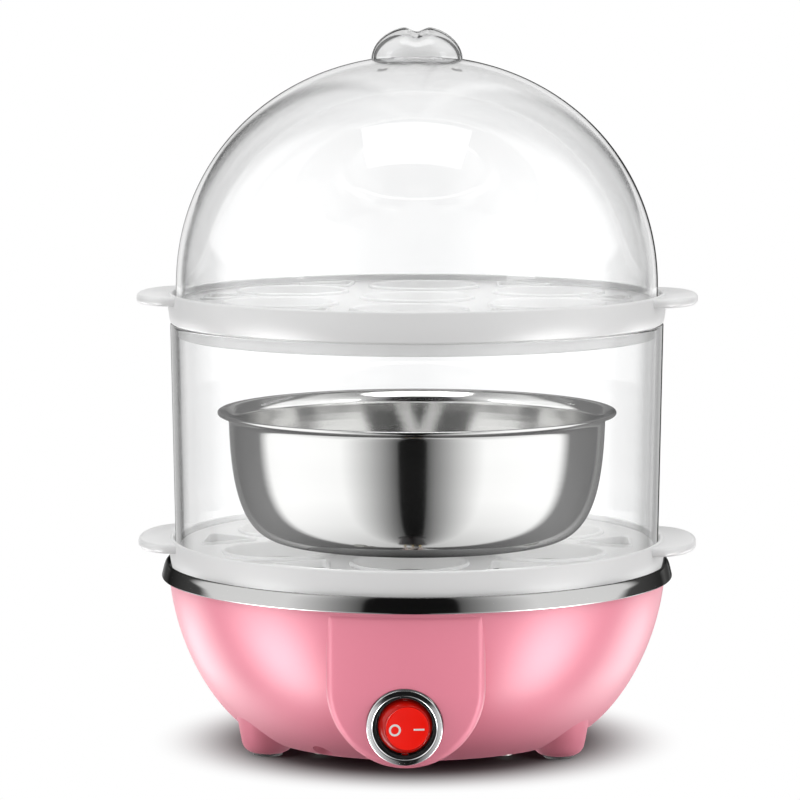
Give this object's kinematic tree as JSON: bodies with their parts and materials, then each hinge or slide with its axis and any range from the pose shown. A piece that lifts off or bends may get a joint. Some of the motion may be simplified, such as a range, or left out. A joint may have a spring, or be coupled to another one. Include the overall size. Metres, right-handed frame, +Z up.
{
  "type": "egg boiler",
  "caption": "Two-tier electric egg boiler with a pink base, egg trays, clear collar and dome lid, and a steel bowl inside.",
  "frame": {"origin": "on the surface that the feet stand on, below the middle of the base", "axes": "+Z up; -Y to the front, where the switch is; +X to the right seen from the front, towards a tray ear"},
  "size_m": [0.185, 0.1696, 0.237],
  "materials": {
    "shell": "glossy moulded pink",
    "tray": "smooth translucent white",
    "clear": "clear moulded plastic, polished",
    "steel": "polished stainless sheet",
    "bezel": "plated ring",
    "zinc": "zinc-plated",
    "plate": "as cast",
    "brass": "plain",
    "rubber": "matt",
    "silicone": "matt",
    "housing": "satin moulded black",
    "rocker": "glossy translucent red",
    "lamp": "clear glass",
    "ceramic": "unglazed",
    "sleeve": "varnished glass braid",
    "sheath": "silicone sheath",
    "cap": "moulded nylon"
  },
  "bodies": {
    "base": {"base_shell": "shell", "bottom_cover": "shell", "foot_pad_1": "rubber", "foot_pad_2": "rubber", "foot_pad_3": "rubber", "foot_pad_4": "rubber", "cover_screw_1": "zinc", "cover_screw_2": "zinc", "cover_screw_3": "zinc", "cover_screw_4": "zinc", "heating_pan": "steel", "pan_seal": "silicone", "pan_bush_1": "zinc", "pan_bush_2": "zinc", "pan_bush_3": "zinc", "pan_screw_1": "zinc", "pan_screw_2": "zinc", "pan_screw_3": "zinc", "heater_plate": "plate", "heater_tube": "zinc", "heater_pin_left": "zinc", "heater_pin_right": "zinc", "clamp_bar": "zinc", "clamp_nut_1": "zinc", "clamp_nut_2": "zinc", "thermostat": "ceramic", "thermostat_blade_in": "brass", "thermostat_blade_out": "brass", "thermal_fuse": "plate", "fuse_sleeve": "sleeve", "switch_housing": "housing", "switch_bezel": "bezel", "switch_lamp": "lamp", "switch_blade_1": "brass", "switch_blade_2": "brass", "switch_blade_3": "brass", "cord_grommet": "rubber", "crimp_cap_live": "cap", "crimp_cap_neutral": "cap", "wire_switch_to_thermostat": "sheath", "wire_thermostat_to_heater": "sheath", "wire_heater_to_fuse": "sheath", "wire_fuse_to_cap": "sheath", "wire_cap_to_switch": "sheath", "wire_cap_to_lamp": "sheath"},
    "lower_tray": {"lower_tray": "tray"},
    "bowl": {"steel_bowl": "steel"},
    "collar": {"collar": "clear"},
    "upper_tray": {"upper_tray": "tray"},
    "lid": {"dome_lid": "clear"},
    "rocker": {"switch_rocker": "rocker"}
  },
  "joints": [
    {"name": "lower_tray_lift", "type": "slide", "parent": "base", "child": "lower_tray", "axis": [0, 0, 1], "range_m": [0, 0.06]},
    {"name": "bowl_lift", "type": "slide", "parent": "lower_tray", "child": "bowl", "axis": [0, 0, 1], "range_m": [0, 0.02]},
    {"name": "collar_lift", "type": "slide", "parent": "lower_tray", "child": "collar", "axis": [0, 0, 1], "range_m": [0, 0.11]},
    {"name": "upper_tray_lift", "type": "slide", "parent": "collar", "child": "upper_tray", "axis": [0, 0, 1], "range_m": [0, 0.06]},
    {"name": "lid_lift", "type": "slide", "parent": "upper_tray", "child": "lid", "axis": [0, 0, 1], "range_m": [0, 0.11]},
    {"name": "rocker_tilt", "type": "hinge", "parent": "base", "child": "rocker", "pos_m": [0, -0.07876, 0.0197], "axis": [0, 0, 1], "range_deg": [-22, 0]}
  ]
}
